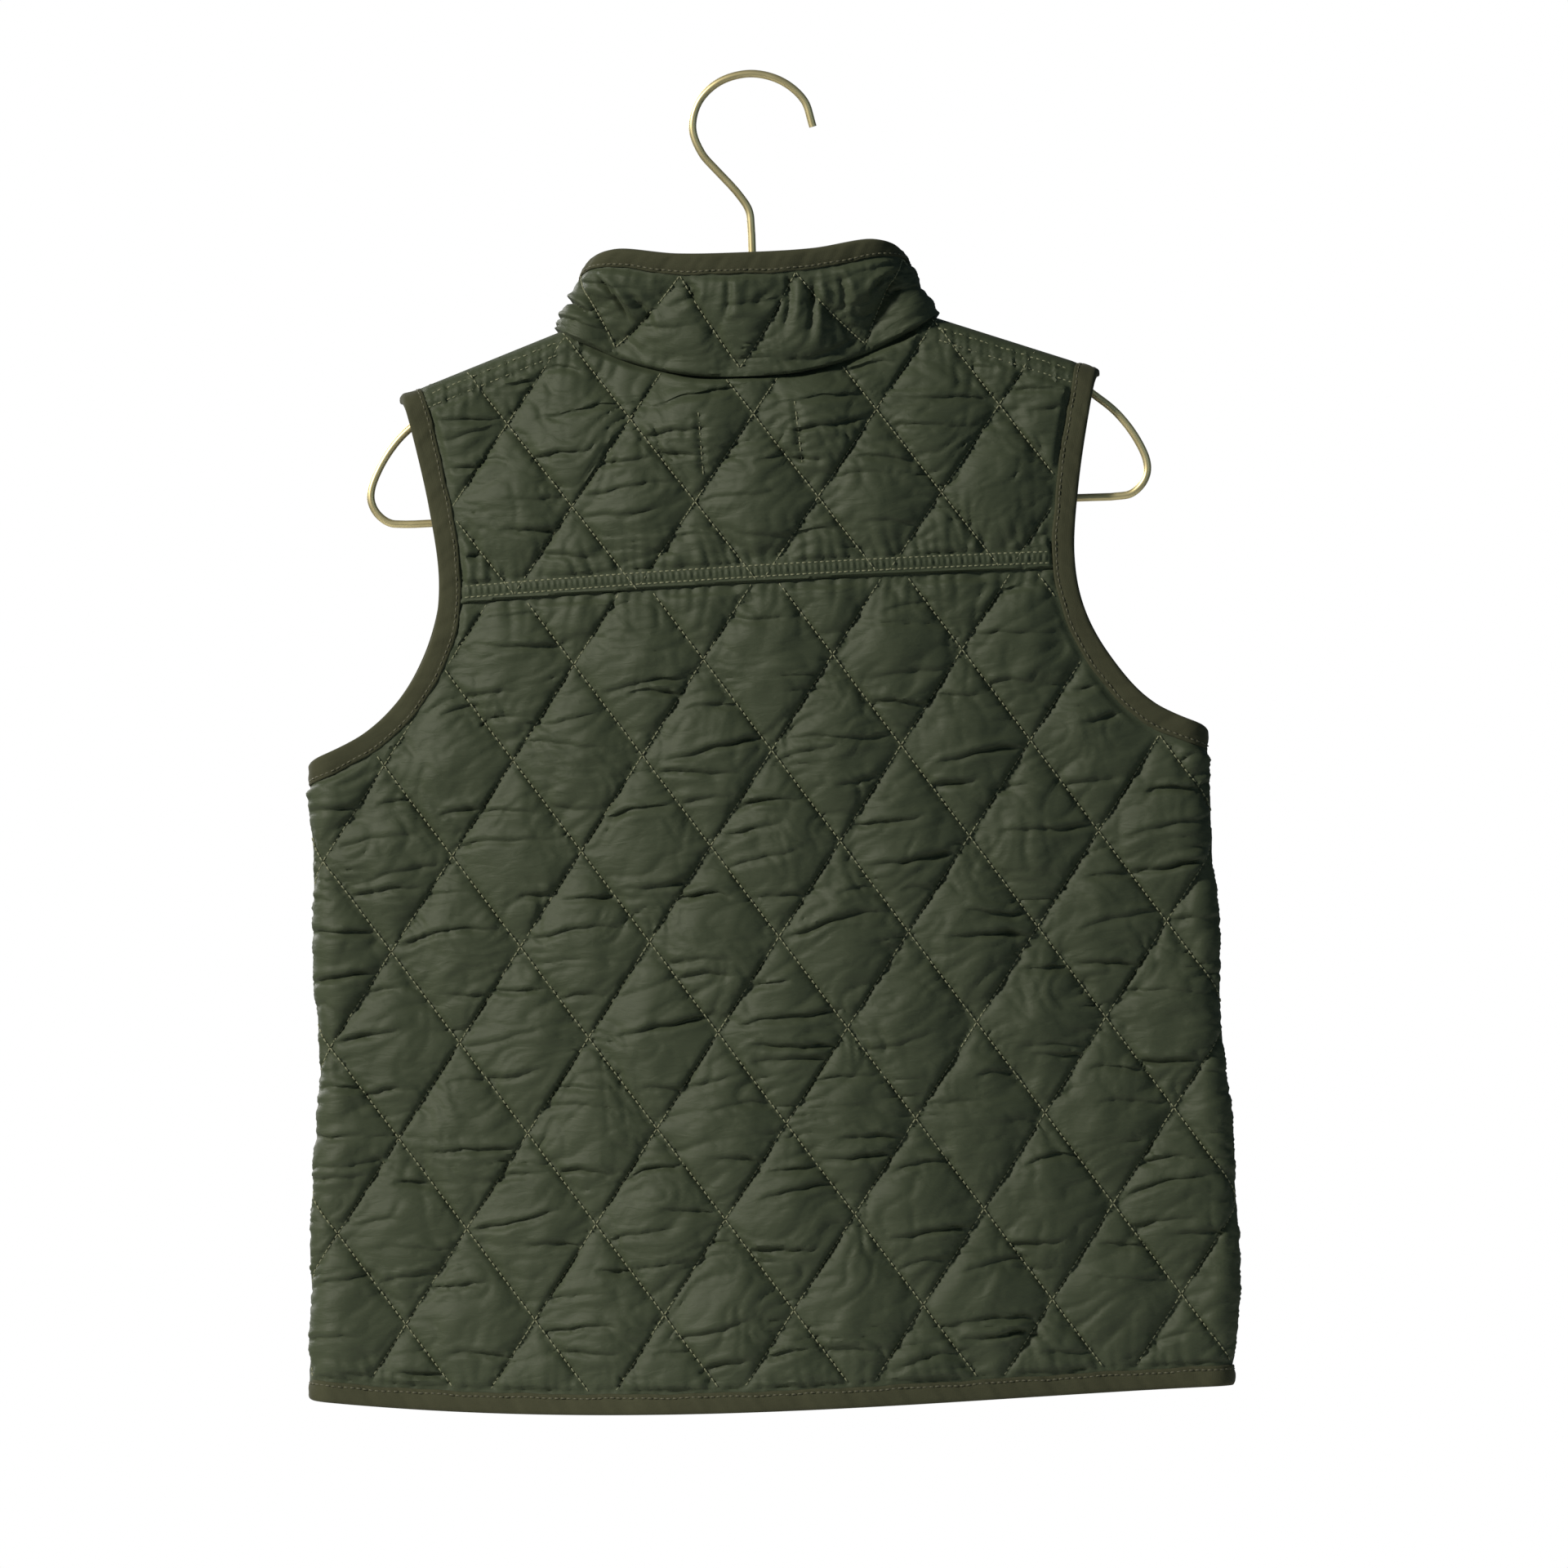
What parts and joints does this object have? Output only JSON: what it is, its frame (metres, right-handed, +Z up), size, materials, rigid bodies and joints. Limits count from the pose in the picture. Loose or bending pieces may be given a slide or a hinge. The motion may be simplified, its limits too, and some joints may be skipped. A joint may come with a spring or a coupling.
{
  "type": "quilted vest on a wire hanger",
  "caption": "Child's sleeveless quilted vest with a stand collar, bound edges and a front zip, hung flat on a brass wire hanger.",
  "frame": {"origin": "inner top of the hanger's hook, where a rod bears", "axes": "+Z up, the back of the vest faces -Y and its zipped front faces +Y, +X is the wearer's right"},
  "size_m": [0.3596, 0.0586, 0.5143],
  "materials": {
    "shell": "quilted olive nylon taffeta, soft sheen",
    "binding": "matte brownish olive folded binding",
    "zip_tape": "matte dark olive woven tape",
    "zip_teeth": "moulded dark olive teeth",
    "zip_metal": "satin brass",
    "wire": "satin brass wire"
  },
  "bodies": {
    "vest": {"back_yoke": "shell", "back_panel": "shell", "front_right": "shell", "front_left": "shell", "collar": "shell", "armhole_binding_right": "binding", "armhole_binding_left": "binding", "hem_binding": "binding", "collar_binding": "binding", "zip_tape_right": "zip_tape", "zip_tape_left": "zip_tape", "zip_chain": "zip_teeth", "zip_slider": "zip_metal", "hanger_hook": "wire", "hanger_frame": "wire"},
    "pull": {"zip_pull": "zip_metal"}
  },
  "joints": [
    {"name": "pull_swing", "type": "hinge", "parent": "vest", "child": "pull", "pos_m": [-0.003, 0.02859, -0.11578], "axis": [1, 0, 0], "range_deg": [0, 150]}
  ]
}
